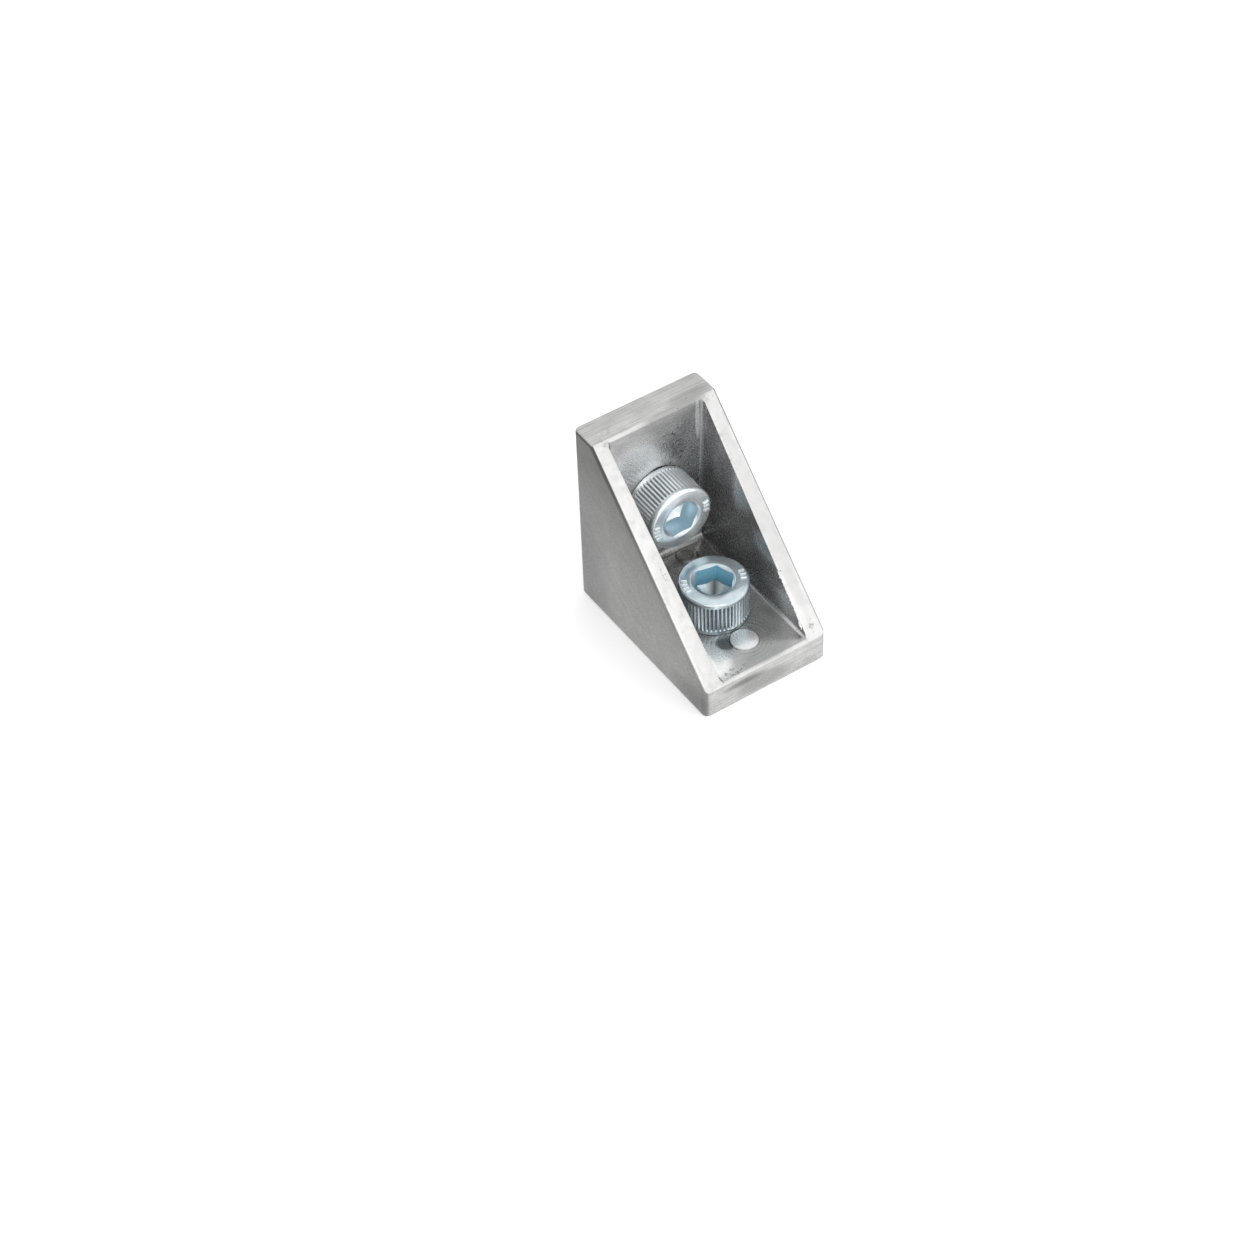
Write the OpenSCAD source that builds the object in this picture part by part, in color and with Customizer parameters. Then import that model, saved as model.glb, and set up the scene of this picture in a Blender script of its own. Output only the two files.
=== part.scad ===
// Die-cast corner bracket for slotted framing profile, with its two screws.
// The foot lies along +X, the upright stands along +Z, the width is along Y.
// Origin: where the two mounting faces would meet, at mid width. Sizes in mm.

/* [Casting] */
// length of the foot, from the upright's mounting face
foot_l = 30; // [27:0.5:45]
// height of the upright, from the foot's mounting face
wall_h = 30; // [27:0.5:45]
// width over the two side walls
body_w = 20; // [18:0.5:30]
// thickness of the foot
foot_t = 4.8; // [3.5:0.1:6]
// thickness of the upright
wall_t = 4.8; // [3.5:0.1:6]
// how much the ground slope takes off each leg's inner end edge
land_cut = 0.3; // [0.1:0.05:0.8]
// side wall at the upright's end
rim_top_w = 2.3; // [1.5:0.05:3.2]
// side wall at the foot's end
rim_front_w = 2.95; // [1.5:0.05:3.2]
// draft of the side walls' inner faces
core_draft = 1; // [0.25:0.25:3]
// fillet along the side walls, where they meet the foot and the upright
core_fillet = 0.5; // [0.3:0.1:1.5]
// fillet where the foot and the upright meet inside
root_fillet = 1.2; // [0.5:0.1:1.5]

/* [Edges] */
// rounding of the casting's upright edges
corner_r = 1; // [0.4:0.1:2]
// rounding of the legs' long edges
side_edge_r = 0.4; // [0.2:0.1:1]
// rounding of the slope's outer edges
rim_edge_r = 0.6; // [0.2:0.1:1]
// chamfer that clears the corner between the two profiles
root_chamfer = 0.8; // [0.3:0.1:2]

/* [Screw slots] */
// centre of the foot's slot, from the upright's mounting face
foot_slot_x = 17; // [16:0.25:20]
// centre of the upright's slot, from the foot's mounting face
wall_slot_z = 17; // [16:0.25:20]
// width of both slots
slot_w = 6.4; // [6.2:0.1:6.8]
// how far a screw can be shifted along its slot, end to end
slot_travel = 1.8; // [1:0.1:4]

/* [Ejector marks] */
// the large mark near the foot's end
mark_x = 25; // [24:0.25:26]
mark_d = 4.1; // [2:0.1:4.4]
mark_h = 0.25; // [0.1:0.05:0.4]
// the pair of small marks near the root
pair_x = 7.2; // [7:0.1:9]
pair_y = 3; // [2:0.1:4]
pair_d = 3; // [1.5:0.1:3.2]
pair_h = 0.2; // [0.1:0.05:0.4]

/* [Screws] */
// thread diameter
screw_d = 6; // [5:0.5:6]
// length under the head
screw_l = 12; // [10:1:20]
// head over the knurl's crests
head_d = 9.8; // [9:0.1:10.2]
head_h = 5.8; // [5.4:0.1:6]
// plain band above the knurl
band_top = 0.8; // [0.4:0.1:1.5]
// plain band under the knurl
band_base = 0.8; // [0.4:0.1:1.5]
// chamfer round the head's face
head_chamfer = 0.2; // [0.1:0.05:0.5]
// key size across flats
key_w = 5; // [4:0.5:5]
key_depth = 3; // [2:0.25:3.5]
// drill-point angle at the socket's bottom
drill_angle = 120; // [100:5:140]
// diameter of the countersink at the socket's mouth
mouth_d = 6.1; // [6:0.1:7]
// angle of that countersink
mouth_angle = 140; // [90:5:150]
// crests in the knurl and depth of its grooves
knurl_n = 54; // [36:1:60]
knurl_depth = 0.16; // [0.08:0.02:0.25]
tip_chamfer = 0.6; // [0.3:0.1:1]
// where each screw sits in its slot, from the slot's centre
foot_screw_shift = 0.9; // [-0.9:0.1:0.9]
wall_screw_shift = -0.9; // [-0.9:0.1:0.9]
// how each socket is turned
foot_key_turn = 18.5; // [0:0.5:60]
wall_key_turn = 2; // [0:0.5:60]

/* [Hidden] */
$fn = 64;
over = 1;
// the slope runs from (slope_x, wall_h) down to (foot_l, slope_z)
slope_x = wall_t - land_cut;
slope_z = foot_t - land_cut;
slope_dx = foot_l - slope_x;
slope_dz = wall_h - slope_z;
slope_l = sqrt(slope_dx * slope_dx + slope_dz * slope_dz);
slope_turn = atan2(slope_dz, slope_dx);
mid_x = (slope_x + foot_l) / 2;
mid_z = (wall_h + slope_z) / 2;
// inner face of a side wall: y = core_y0 + core_bx * x + core_cz * z
mid_y = body_w / 2 - (rim_top_w + rim_front_w) / 2;
splay = (rim_front_w - rim_top_w) / slope_l;
core_bx = tan(core_draft) * sin(slope_turn) - splay * cos(slope_turn);
core_cz = tan(core_draft) * cos(slope_turn) + splay * sin(slope_turn);
core_y0 = mid_y - core_bx * mid_x - core_cz * mid_z;
core_turn = atan(core_bx);
core_lean = atan(core_cz);
core_far = foot_l + wall_h + body_w;
foot_screw_x = foot_slot_x + foot_screw_shift;
wall_screw_z = wall_slot_z + wall_screw_shift;
groove_w = knurl_depth * sqrt(2);

// y of a side wall's inner face at a point of the side view
function core_y(x, z) = core_y0 + core_bx * x + core_cz * z;

// rectangle from x0 to x1, centred on y = 0, with round corners
module round_rect(x0, x1, w, r) {
    translate([x0 + r, -w / 2]) square([x1 - x0 - 2 * r, w]);
    translate([x0, -w / 2 + r]) square([x1 - x0, w - 2 * r]);
    for (x = [x0 + r, x1 - r], y = [-w / 2 + r, w / 2 - r])
        translate([x, y]) circle(r);
}

// side view of the whole casting, X to the right and Z up
module side_view() {
    polygon([[root_chamfer, 0], [foot_l, 0], [foot_l, slope_z],
             [slope_x, wall_h], [0, wall_h], [0, root_chamfer]]);
}

// side view of the space between the legs
module core_view() {
    difference() {
        translate([wall_t, foot_t]) square([foot_l, wall_h]);
        difference() {
            translate([wall_t - over, foot_t - over])
                square(root_fillet + over);
            translate([wall_t + root_fillet, foot_t + root_fillet])
                circle(root_fillet);
        }
    }
}

// solid block with the casting's outline and its rounded outer edges
module outer_block() {
    intersection() {
        rotate([90, 0, 0]) linear_extrude(body_w, center = true) side_view();
        linear_extrude(wall_h) round_rect(0, foot_l, body_w, corner_r);
        rotate([0, 90, 0]) linear_extrude(foot_l)
            round_rect(-wall_h, 0, body_w, side_edge_r);
        translate([slope_x, 0, wall_h]) rotate([0, slope_turn, 0])
            translate([-wall_h, 0, 0]) rotate([0, 90, 0])
                linear_extrude(slope_l + wall_h + foot_l)
                    round_rect(0, core_far, body_w, rim_edge_r);
    }
}

// everything on the inner side of one side wall's drafted face
module inner_side() {
    translate([0, core_y0, 0])
        rotate([-atan(core_cz * cos(core_turn)), 0, core_turn])
            translate([-core_far, -2 * core_far, -core_far])
                cube(2 * core_far);
}

// what a fillet fills between a flat and a wall that leans out by lean
module fillet_view(r, lean) {
    reach = r / tan((90 + lean) / 2);
    difference() {
        polygon([[-reach, -over], [-reach, r],
                 [reach * sin(lean), reach * cos(lean)],
                 [reach * sin(lean) + over, reach * cos(lean)],
                 [reach * sin(lean) + over, -over]]);
        translate([-reach, r]) circle(r);
    }
}

// fillets of one side wall with the foot and with the upright
module side_fillets() {
    translate([0, core_y(0, foot_t), foot_t]) rotate([0, 0, core_turn])
        rotate([90, 0, 90]) linear_extrude(foot_l + over)
            fillet_view(core_fillet, atan(core_cz * cos(core_turn)));
    translate([wall_t, core_y(wall_t, 0), 0]) rotate([-core_lean, 0, 0])
        linear_extrude(wall_h + over) mirror([1, -1])
            fillet_view(core_fillet, atan(core_bx * cos(core_lean)));
}

// the space between the side walls, as the die's core leaves it
module core() {
    difference() {
        intersection() {
            rotate([90, 0, 0]) linear_extrude(body_w, center = true)
                core_view();
            inner_side();
            mirror([0, 1, 0]) inner_side();
        }
        side_fillets();
        mirror([0, 1, 0]) side_fillets();
    }
}

// one slot, long along X, through a leg of thickness t
module slot(t) {
    translate([0, 0, -over]) linear_extrude(t + 2 * over) {
        square([slot_travel, slot_w], center = true);
        for (x = [-slot_travel / 2, slot_travel / 2])
            translate([x, 0]) circle(d = slot_w);
    }
}

module ejector_mark(x, y, d, h) {
    translate([x, y, foot_t - over]) cylinder(d = d, h = h + over);
}

module bracket_body() {
    color([0.62, 0.63, 0.64]) {
        difference() {
            outer_block();
            core();
            translate([foot_slot_x, 0, 0]) slot(foot_t);
            translate([0, 0, wall_slot_z]) rotate([0, 90, 0]) slot(wall_t);
        }
        ejector_mark(mark_x, 0, mark_d, mark_h);
        for (s = [-1, 1]) ejector_mark(pair_x, s * pair_y, pair_d, pair_h);
    }
}

// half section of a screw without its socket, seat at z = 0
module screw_section() {
    polygon([[0, -screw_l], [screw_d / 2 - tip_chamfer, -screw_l],
             [screw_d / 2, tip_chamfer - screw_l], [screw_d / 2, 0],
             [head_d / 2 - head_chamfer, 0], [head_d / 2, head_chamfer],
             [head_d / 2, head_h - head_chamfer],
             [head_d / 2 - head_chamfer, head_h], [0, head_h]]);
}

// hexagon socket with its countersunk mouth and drill point
module key_socket() {
    drill_r = key_w / 2;
    mouth_r = mouth_d / 2;
    mouth_slope = 1 / tan(mouth_angle / 2);
    translate([0, 0, head_h - key_depth])
        cylinder(d = key_w / cos(30), h = key_depth + over, $fn = 6);
    translate([0, 0, head_h - key_depth - drill_r / tan(drill_angle / 2)])
        cylinder(r1 = 0, r2 = drill_r, h = drill_r / tan(drill_angle / 2));
    translate([0, 0, head_h - mouth_r * mouth_slope])
        cylinder(r1 = 0, r2 = mouth_r + over, h = (mouth_r + over) * mouth_slope);
}

// straight knurl, cut between the head's two plain bands
module knurl_grooves() {
    translate([0, 0, band_base])
        linear_extrude(head_h - band_base - band_top)
            for (i = [0 : knurl_n - 1]) rotate(i * 360 / knurl_n)
                translate([head_d / 2, 0]) rotate(45)
                    square(groove_w, center = true);
}

module cap_screw(key_turn) {
    color([0.78, 0.82, 0.85])
        difference() {
            rotate_extrude() screw_section();
            rotate(key_turn) key_socket();
            knurl_grooves();
        }
}

module foot_screw() {
    translate([foot_screw_x, 0, foot_t]) cap_screw(foot_key_turn);
}

module wall_screw() {
    translate([wall_t, 0, wall_screw_z]) rotate([0, 90, 0]) rotate(90)
        cap_screw(wall_key_turn);
}

bracket_body();
foot_screw();
wall_screw();
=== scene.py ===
"""Dresses a die-cast corner bracket and its two cap screws for a studio picture.

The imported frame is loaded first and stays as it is. The casting and both
screws are then finished as detailed pieces that stand where their CAD nodes
stand: the casting with broken edges, flash and pits, the screws with a rolled
knurl, a forged hexagon socket, grade ticks and a rolled M6 thread. All sizes
are written in millimetres and turned to metres once, by the constant MM.
"""

import logging
import math
import random
from dataclasses import dataclass, field
from enum import Enum

import bmesh
import bpy
from mathutils import Matrix, Vector

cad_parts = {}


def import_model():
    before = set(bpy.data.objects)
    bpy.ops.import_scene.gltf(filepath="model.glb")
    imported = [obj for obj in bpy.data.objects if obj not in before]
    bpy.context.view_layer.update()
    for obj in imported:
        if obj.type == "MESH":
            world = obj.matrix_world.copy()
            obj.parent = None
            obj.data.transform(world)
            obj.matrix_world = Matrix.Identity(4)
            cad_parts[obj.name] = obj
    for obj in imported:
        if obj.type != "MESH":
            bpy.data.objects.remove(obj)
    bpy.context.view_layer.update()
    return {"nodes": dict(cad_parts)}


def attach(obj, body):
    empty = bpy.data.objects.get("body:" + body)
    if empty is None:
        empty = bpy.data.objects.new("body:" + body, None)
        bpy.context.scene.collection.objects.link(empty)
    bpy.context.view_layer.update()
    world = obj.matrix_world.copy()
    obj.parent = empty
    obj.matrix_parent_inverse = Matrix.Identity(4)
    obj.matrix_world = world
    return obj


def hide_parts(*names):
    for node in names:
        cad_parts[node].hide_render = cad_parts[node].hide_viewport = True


log = logging.getLogger("corner_bracket")

Material = bpy.types.Material
Node = bpy.types.Node
Piece = bpy.types.Object
Socket = bpy.types.NodeSocket
Tree = bpy.types.NodeTree
# what a shader input takes: one socket, or a node for its first output
Signal = Node | Socket
Number = Signal | float

MM = 0.001
# corners nearer than this are one, and faces that bend less are one
JOIN_WITHIN = 0.002 * MM
FLAT_WITHIN = math.radians(0.6)
PICTURE_SIDE = 1254
SENSOR_WIDTH = 36.0


def linear(colour: str) -> tuple[float, float, float, float]:
    """Turns an sRGB hex colour into the linear one that shaders take.

    Args:
        colour: Six hex digits after a hash sign.

    Returns:
        Red, green and blue in linear light, and an alpha of 1.
    """
    parts = [int(colour[i : i + 2], 16) / 255 for i in (1, 3, 5)]
    light = [c / 12.92 if c <= 0.04045 else ((c + 0.055) / 1.055) ** 2.4 for c in parts]
    return (light[0], light[1], light[2], 1.0)


def add_node(tree: Tree, kind: str, inputs: dict | None = None, **settings: object) -> Node:
    """Adds one node with its settings, values and links.

    Args:
        tree: The node tree that takes the node.
        kind: The node's type name.
        inputs: A value, a socket to link or a node whose first output is linked,
            for each input by name or number.
        **settings: Attributes of the node itself.

    Returns:
        The new node.
    """
    node = tree.nodes.new(kind)
    for name, value in settings.items():
        setattr(node, name, value)
    for name, value in (inputs or {}).items():
        if isinstance(value, Node):
            value = value.outputs[0]
        if isinstance(value, Socket):
            tree.links.new(value, node.inputs[name])
        else:
            node.inputs[name].default_value = value
    return node


def blend(tree: Tree, mask: Signal, under: Signal | str, over: Signal | str) -> Socket:
    """Lays one colour over another where a mask lets it show.

    Args:
        tree: The node tree to add to.
        mask: How much of the upper colour shows, from 0 to 1.
        under: The lower colour, as a signal or a hex string.
        over: The upper colour, as a signal or a hex string.

    Returns:
        The blended colour.
    """
    lower, upper = (linear(tone) if isinstance(tone, str) else tone for tone in (under, over))
    inputs = {0: mask, 6: lower, 7: upper}
    return add_node(tree, "ShaderNodeMix", inputs, data_type="RGBA").outputs[2]


def calculate(tree: Tree, operation: str, *values: Number) -> Node:
    """Adds one step of arithmetic.

    Args:
        tree: The node tree to add to.
        operation: The math node's operation.
        *values: What it works on, in order.

    Returns:
        The result.
    """
    return add_node(tree, "ShaderNodeMath", dict(enumerate(values)), operation=operation)


def remap(
    tree: Tree,
    value: Signal,
    given: tuple[Number, Number],
    wanted: tuple[Number, Number] = (0.0, 1.0),
    smooth: bool = False,
) -> Node:
    """Stretches a value from one range to another and clamps it there.

    Args:
        tree: The node tree to add to.
        value: The value to stretch.
        given: The two ends of the range that it comes from.
        wanted: What those two ends turn into.
        smooth: Whether it eases in and out at both ends.

    Returns:
        The stretched value.
    """
    inputs = dict(enumerate((value, *given, *wanted)))
    easing = "SMOOTHSTEP" if smooth else "LINEAR"
    return add_node(tree, "ShaderNodeMapRange", inputs, interpolation_type=easing)


def noise(tree: Tree, place: Signal, size: float, detail: float = 2.0, rough: float = 0.5) -> Node:
    """Adds a cloudy noise, from 0 to 1 and mostly near 0.5.

    Args:
        tree: The node tree to add to.
        place: Where in the noise each point lies.
        size: The size of its largest patches, in the place's unit.
        detail: How many finer layers it has.
        rough: How strong those finer layers are.

    Returns:
        The noise.
    """
    inputs = {"Vector": place, "Scale": 1 / size, "Detail": detail, "Roughness": rough}
    return add_node(tree, "ShaderNodeTexNoise", inputs)


def new_material(name: str) -> tuple[Material, Tree]:
    """Makes an empty node material.

    Args:
        name: The material's name.

    Returns:
        The material and its node tree.
    """
    material = bpy.data.materials.new(name)
    material.use_nodes = True
    material.node_tree.nodes.clear()
    return material, material.node_tree


def millimetres(tree: Tree) -> Signal:
    """Gives the shaded point in object coordinates, in millimetres.

    Args:
        tree: The node tree to work in.

    Returns:
        The point, so that every pattern's scale is one over a size in mm.
    """
    place = add_node(tree, "ShaderNodeTexCoord").outputs["Object"]
    return add_node(tree, "ShaderNodeMapping", {"Vector": place, "Scale": (1 / MM,) * 3})


@dataclass(frozen=True)
class Mark:
    """A soft-edged ellipsoid on the casting: a casting mark, or painted light or shade.

    Attributes:
        centre: Its centre in mm.
        reach: Its half lengths along X, Y and Z in mm.
        colour: What the mark's metal looks like.
        share: How much of that colour the mark's middle takes on.
        core: The share of the reach that the mark fills fully.
        broken: Whether the crust breaks the mark up into specks.
    """

    centre: tuple[float, float, float]
    reach: tuple[float, float, float]
    colour: str
    share: float
    core: float = 0.4
    broken: bool = False

    def mask(self, tree: Tree, point: Signal) -> Signal:
        """Gives the mark's share in its middle, falling to 0 at its reach.

        Args:
            tree: The material's node tree.
            point: The shaded point in mm.

        Returns:
            The mark's mask.
        """
        offset = add_node(
            tree, "ShaderNodeVectorMath", {0: point, 1: self.centre}, operation="SUBTRACT"
        )
        scaled = add_node(
            tree, "ShaderNodeVectorMath", {0: offset, 1: self.reach}, operation="DIVIDE"
        )
        far = add_node(
            tree, "ShaderNodeVectorMath", {0: scaled}, operation="LENGTH"
        ).outputs["Value"]
        return remap(tree, far, (self.core, 1.0), (self.share, 0.0), smooth=True)


CASTING_MARKS_AND_PAINTED_LIGHT = (
    # burnt die lubricant on the upright, as dark specks beside the upper screw
    Mark((4.8, 3.4, 23.2), (1.0, 4.4, 6.6), "#646464", 0.9, broken=True),
    # the upright is brighter on its left
    Mark((4.8, -3.0, 23.2), (1.0, 6.2, 6.0), "#E8E9E9", 0.65, core=0.4),
    # painted highlight: a bright line of light on the fillet in the right inner corner
    Mark((5.1, 6.75, 26.4), (0.7, 0.5, 4.6), "#FFFFFF", 1.0, core=0.7),
    # smoke grey where the metal fills last, high up and on the right
    Mark((4.8, 2.0, 29.4), (1.0, 6.4, 2.6), "#838383", 0.6),
    Mark((4.8, 6.4, 25.0), (1.0, 4.0, 8.0), "#818283", 0.5),
    # a rubbed smudge at the right of the top, and one low on the foot's end
    Mark((3.6, 6.4, 30.0), (1.5, 5.0, 1.0), "#8D8D89", 0.55),
    Mark((3.0, -6.8, 30.0), (0.8, 1.6, 0.6), "#7E7E7C", 0.6, broken=True),
    Mark((30.0, -0.4, 1.8), (1.0, 6.0, 2.0), "#8D8D8B", 0.65),
    Mark((30.0, -3.4, 3.3), (1.0, 4.6, 0.9), "#787877", 0.9, core=0.2),
    # pits at the foot's end of the right rim and nicks along the left one
    Mark((28.7, 8.3, 5.8), (1.3, 1.1, 1.3), "#646464", 0.8, broken=True),
    Mark((17.6, -8.1, 16.9), (3.4, 0.5, 3.4), "#7E7E7D", 0.6, broken=True),
    Mark((20.6, -9.7, 13.9), (3.0, 0.5, 3.0), "#898988", 0.6, broken=True),
    Mark((10.0, 7.8, 24.5), (6.0, 0.5, 6.0), "#898988", 0.6, broken=True),
    # the facet where the gate was broken off
    Mark((30.0, -7.5, 3.75), (0.7, 0.95, 0.75), "#A5A6A6", 0.45, core=0.5),
    # torn metal where the rims' grinding starts
    Mark((4.7, -8.3, 29.8), (1.3, 1.1, 1.3), "#9C9C9A", 0.7, broken=True),
    Mark((4.7, 8.6, 29.8), (1.3, 1.1, 1.3), "#9C9C9A", 0.7, broken=True),
    # the floor is brightest on the left, beside the left wall
    Mark((25.0, -6.2, 4.8), (5.0, 3.6, 0.6), "#EAEAEA", 1.0, core=0.55),
    # dirt in front of the foot's screw, darker floor on the right and front, and painted shade
    # beside the disc
    Mark((28.9, -4.4, 4.8), (1.1, 3.2, 0.6), "#656667", 0.7, broken=True),
    Mark((23.6, 4.8, 4.8), (5.4, 3.6, 0.6), "#808181", 0.75, core=0.3),
    Mark((28.2, 1.0, 4.8), (2.6, 5.4, 0.6), "#8E8F8F", 0.7, core=0.3),
    Mark((23.9, -2.2, 4.8), (1.6, 1.6, 0.5), "#5F6062", 0.85, core=0.75),
    # painted shade: the outer side is darker at its back edge, low down and at its tip
    Mark((0.0, -10.0, 9.0), (10.0, 1.2, 15.0), "#616161", 0.8, core=0.1),
    Mark((28.4, -10.0, 2.0), (8.0, 1.2, 5.0), "#666666", 0.85, core=0.0),
    Mark((1.0, -10.0, 4.0), (9.0, 1.2, 11.0), "#6C6C6C", 0.7, core=0.0),
    # painted reflection: the far wall is brighter where it flares out near its tip,
    # and a painted highlight lies along its fillet with the floor
    Mark((25.0, 7.0, 7.6), (3.6, 0.9, 3.8), "#EAEAEA", 0.85, core=0.2),
    Mark((27.0, 6.8, 5.0), (3.2, 0.4, 0.5), "#E4E5E4", 0.7, core=0.3),
    # the right rim is a little less white than the left one
    Mark((17.25, 8.5, 17.25), (17.0, 1.3, 17.0), "#C6C6C5", 0.55, core=0.7),
    # painted light: the root's floor is lightened where the corner leaves it dark,
    # and it holds a pair of ejector marks
    Mark((8.0, 0.0, 4.8), (5.0, 8.0, 0.6), "#D4D4D2", 0.8, core=0.6),
    # dirt round each of the two marks, and their tops, pressed by the pins
    Mark((7.2, -3.0, 4.8), (1.8, 1.8, 0.3), "#454544", 0.8, core=0.8),
    Mark((7.2, 3.0, 4.8), (1.8, 1.8, 0.3), "#454544", 0.8, core=0.8),
    Mark((7.2, 0.0, 5.06), (1.4, 4.6, 0.14), "#A5A5A3", 0.8, core=0.9),
    # the pushed-up disc shines, because the ejector pin pressed it smooth
    Mark((25.0, 0.0, 5.05), (2.0, 2.0, 0.12), "#E0E2E3", 0.9, core=0.9),
)


@dataclass(frozen=True)
class DieCastAluminium:
    """Die-cast aluminium with a ground slope and trimmed ends.

    The skin of a die casting is satin with a faint mottle, because the metal
    freezes in patches against the die. Grinding leaves the slope nearly white
    and trimming leaves fine lines across both ends. Small marks break the even
    tone, so that the eye reads raw metal and not paint. The real grain, lines,
    pits and swirls are finer than a pixel, so they are drawn coarser than real.
    Names in _mm are a pattern's size, and in _high or _deep its relief in mm.
    """

    name: str = "die_cast_aluminium"
    skin: str = "#B1B1B1"
    shine: float = 0.84
    # painted shade on the outer sides: lighter low down, darker high up
    side_shade_low: str = "#9B9B9A"
    side_shade_high: str = "#5C5C5B"
    ground: str = "#E5E5E4"
    ground_dull: str = "#CBCBC9"
    trimmed: str = "#CACAC9"
    worn: str = "#8F8F8D"
    pit: str = "#777878"
    skin_smooth: float = 0.2
    skin_rough: float = 0.32
    ground_roughness: float = 0.46
    mottle_mm: float = 2.6
    grain_mm: float = 0.34
    smear_mm: float = 1.5
    streak_mm: float = 0.9
    line_mm: float = 0.2
    crust_mm: float = 0.5
    pit_mm: float = 0.95
    swirl_centre: tuple[float, float, float] = (25.0, 0.0, 4.8)
    swirl_start: float = 2.2
    swirl_reach: float = 5.2
    swirl_mm: float = 0.62
    mottle_high: float = 0.007
    grain_high: float = 0.001
    line_deep: float = 0.006
    pit_deep: float = 0.06
    swirl_high: float = 0.012
    crust_high: float = 0.03
    slope_sum: float = 34.5
    end_mm: float = 30.0
    half_width: float = 10.0

    def build(self) -> Material:
        """Builds the node material.

        Returns:
            The finished material.
        """
        material, tree = new_material(self.name)
        point = millimetres(tree)
        split = add_node(tree, "ShaderNodeSeparateXYZ", {0: point})
        mottle = noise(tree, point, self.mottle_mm, detail=3.0, rough=0.6)
        grain = noise(tree, point, self.grain_mm)
        crust = self._crust(tree, point)
        pits = self._pits(tree, point)
        lines = self._lines(tree, point)
        slope = self._on_slope(tree, split)
        ends = self._on_ends(tree, split)

        colour = self._plain_colour(tree, point, split, slope, ends, lines)
        colour = self._mottled(tree, point, split, mottle, colour)
        dirty = []
        for mark in CASTING_MARKS_AND_PAINTED_LIGHT:
            mask = mark.mask(tree, point)
            if mark.broken:
                mask = calculate(tree, "MULTIPLY", mask, crust)
                dirty.append(mask)
            colour = blend(tree, mask, colour, mark.colour)
        colour = blend(tree, pits, colour, self.pit)

        smooth = remap(tree, grain, (0.3, 0.7), (self.skin_smooth, self.skin_rough))
        rough = add_node(tree, "ShaderNodeMix", {0: slope, 2: smooth, 3: self.ground_roughness})
        swirls = self._swirls(tree, point, mottle)
        height = self._height(tree, mottle, grain, pits, lines, ends, swirls, dirty)
        bump = add_node(tree, "ShaderNodeBump", {"Height": height, "Strength": 1.0, "Distance": MM})
        shader = add_node(
            tree, "ShaderNodeBsdfPrincipled",
            {"Base Color": colour, "Metallic": self.shine, "Roughness": rough, "Normal": bump},
        )
        add_node(tree, "ShaderNodeOutputMaterial", {"Surface": shader})
        return material

    def _plain_colour(
        self, tree: Tree, point: Signal, split: Node, slope: Signal, ends: Signal, lines: Signal
    ) -> Signal:
        """Gives each face its own tone: pocket, outer sides, ends and slope.

        Args:
            tree: The material's node tree.
            point: The shaded point in mm.
            split: The shaded point's parts along X, Y and Z.
            slope: The ground slope's mask.
            ends: The trimmed ends' mask.
            lines: The trimming lines' mask.

        Returns:
            The colour before patches and marks.
        """
        width = calculate(tree, "ABSOLUTE", split.outputs[1])
        on_side = remap(tree, width, (self.half_width - 0.8, self.half_width - 0.3), smooth=True)
        # painted shade: the outer sides darken upwards, for the darker surroundings that their
        # upper part reflects
        shade_climb = remap(tree, split.outputs[2], (4.0, 27.0))
        side = blend(tree, shade_climb, self.side_shade_low, self.side_shade_high)
        trimmed = blend(tree, lines, self.trimmed, self.worn)
        colour = blend(tree, on_side, self.skin, side)
        colour = blend(tree, ends, colour, trimmed)
        smear = noise(tree, point, self.smear_mm, detail=6.0, rough=0.66)
        smeared = remap(tree, smear, (0.5, 0.8), (0.0, 0.9))
        ground = blend(tree, smeared, self.ground, self.ground_dull)
        return blend(tree, slope, colour, ground)

    def _mottled(
        self, tree: Tree, point: Signal, split: Node, mottle: Signal, colour: Signal
    ) -> Signal:
        """Dims the colour in soft patches and in streaks along the slope.

        Args:
            tree: The material's node tree.
            point: The shaded point in mm; not used.
            split: The shaded point's parts along X, Y and Z.
            mottle: The noise of the soft patches.
            colour: The colour to dim.

        Returns:
            The dimmed colour.
        """
        across = calculate(tree, "ADD", split.outputs[0], split.outputs[2])
        along = calculate(tree, "SUBTRACT", split.outputs[0], split.outputs[2])
        turned = add_node(tree, "ShaderNodeCombineXYZ", {0: across, 1: split.outputs[1], 2: along})
        drawn = add_node(
            tree, "ShaderNodeMapping", {"Vector": turned, "Scale": (1 / self.streak_mm, 0.4, 0.1)}
        )
        streak = noise(tree, drawn, 1.0, detail=3.0)
        streak_dim = remap(tree, streak, (0.3, 0.7), (0.88, 1.0))
        patch_dim = remap(tree, mottle, (0.3, 0.66), (0.86, 1.0))
        dim = calculate(tree, "MULTIPLY", streak_dim, patch_dim)
        return add_node(tree, "ShaderNodeVectorMath", {0: colour, 3: dim}, operation="SCALE")

    def _crust(self, tree: Tree, point: Signal) -> Signal:
        """Small ragged specks, 1 inside a speck and 0 between them.

        Args:
            tree: The material's node tree.
            point: The shaded point in mm.

        Returns:
            The specks' mask.
        """
        cloud = noise(tree, point, self.crust_mm, detail=3.0, rough=0.6)
        return remap(tree, cloud, (0.5, 0.7), smooth=True)

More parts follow.
